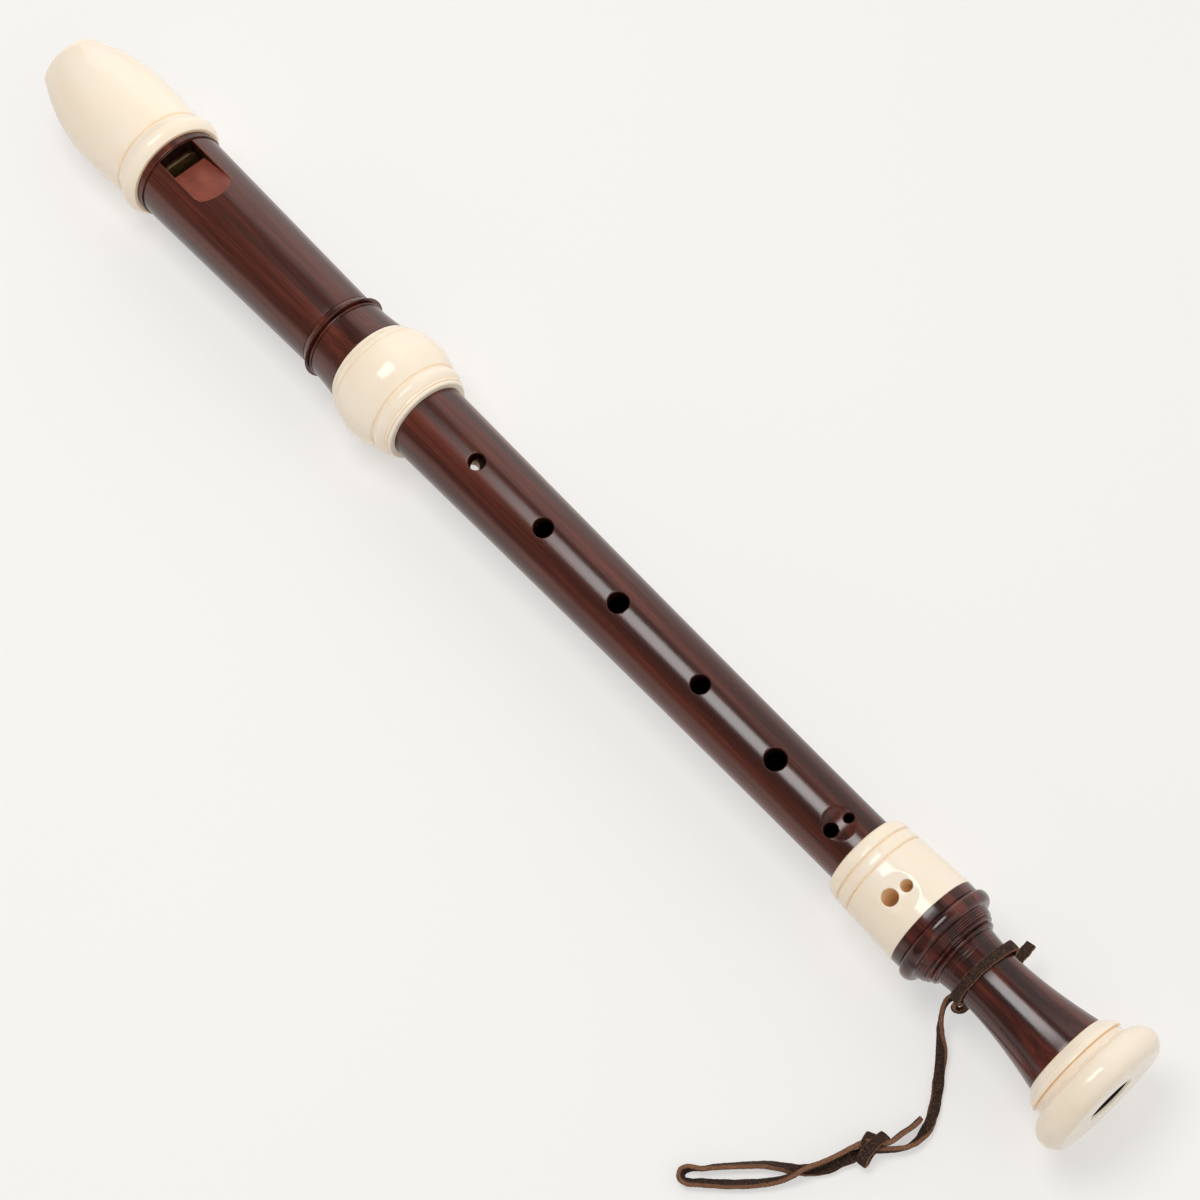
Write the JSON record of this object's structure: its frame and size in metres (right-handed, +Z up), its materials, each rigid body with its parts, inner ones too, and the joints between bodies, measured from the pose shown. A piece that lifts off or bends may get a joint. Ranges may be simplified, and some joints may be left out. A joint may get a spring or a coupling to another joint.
{
  "type": "alto recorder",
  "caption": "Alto recorder with a beak mouthpiece, a labium window, a tapered middle joint with finger holes, a flared foot and a leather finger thong.",
  "frame": {"origin": "middle of the instrument's length, on the surface it lies on: the bottom centre of its box without the thong", "axes": "+X along the instrument from the beak to the foot, +Z up with the window facing up, and the thong lies on the -Y side"},
  "size_m": [0.4752, 0.1221, 0.0436],
  "materials": {
    "ivory": "satin, moulded",
    "head_brown": "gloss, with a streaked wood-like grain",
    "middle_brown": "gloss, with a streaked wood-like grain",
    "foot_brown": "gloss, with a streaked wood-like grain",
    "block_tan": "matte, moulded",
    "thong_leather": "suede, with paler cut edges"
  },
  "bodies": {
    "middle": {"middle_tube": "middle_brown", "thumb_bush": "ivory"},
    "head": {"beak_cap": "ivory", "windway_block": "block_tan", "head_tube": "head_brown", "head_ring": "ivory"},
    "thong": {"thong_noose": "thong_leather", "thong_hitch": "thong_leather", "thong_tail": "thong_leather", "thong_cord": "thong_leather", "thong_knot": "thong_leather", "thong_knot_tail": "thong_leather", "thong_finger_loop": "thong_leather"},
    "foot": {"foot_sleeve": "ivory", "foot_body": "foot_brown", "foot_end_ring": "ivory"}
  },
  "joints": [
    {"name": "head_slide", "type": "slide", "parent": "middle", "child": "head", "axis": [-1, 0, -0.0072], "range_m": [0, 0.024]},
    {"name": "foot_slide", "type": "slide", "parent": "middle", "child": "thong", "axis": [1, 0, 0.0072], "range_m": [0, 0.013]},
    {"name": "foot_turn", "type": "hinge", "parent": "thong", "child": "foot", "pos_m": [0.18879, 0, 0.02148], "axis": [1, 0, 0.0072], "continuous": true}
  ]
}
